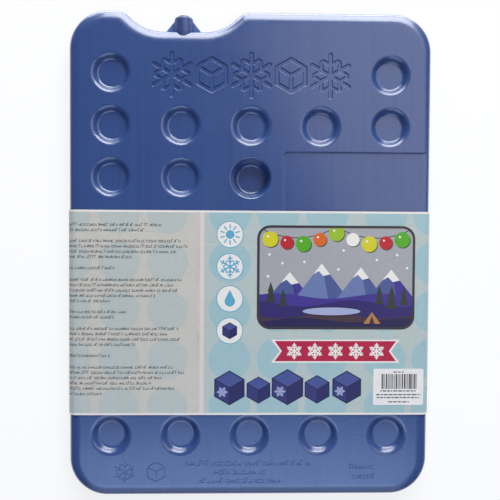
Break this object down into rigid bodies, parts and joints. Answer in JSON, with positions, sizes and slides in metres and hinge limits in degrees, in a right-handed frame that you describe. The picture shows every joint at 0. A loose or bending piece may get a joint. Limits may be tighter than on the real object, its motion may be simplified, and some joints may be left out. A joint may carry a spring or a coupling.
{
  "type": "reusable ice pack",
  "caption": "Flat blow-moulded ice pack with round dimples, a notched top edge around its filler neck, a recessed writing field and a printed paper sleeve.",
  "frame": {"origin": "middle of the pack's outline, on the surface that the back of the sleeve rests on", "axes": "+X across the pack to the right, +Y along its length towards the filler neck, +Z out of the dimpled front"},
  "size_m": [0.2494, 0.333, 0.0164],
  "materials": {
    "pack_shell": "satin, faint upright moulding streaks",
    "plug": "satin",
    "sleeve": "glossy coated, printed with pale dots and pictures",
    "sticker": "matt label paper"
  },
  "bodies": {
    "root": {"pack_body": "pack_shell", "filler_plug": "plug", "label_sleeve": "sleeve", "price_sticker": "sticker"}
  },
  "joints": []
}
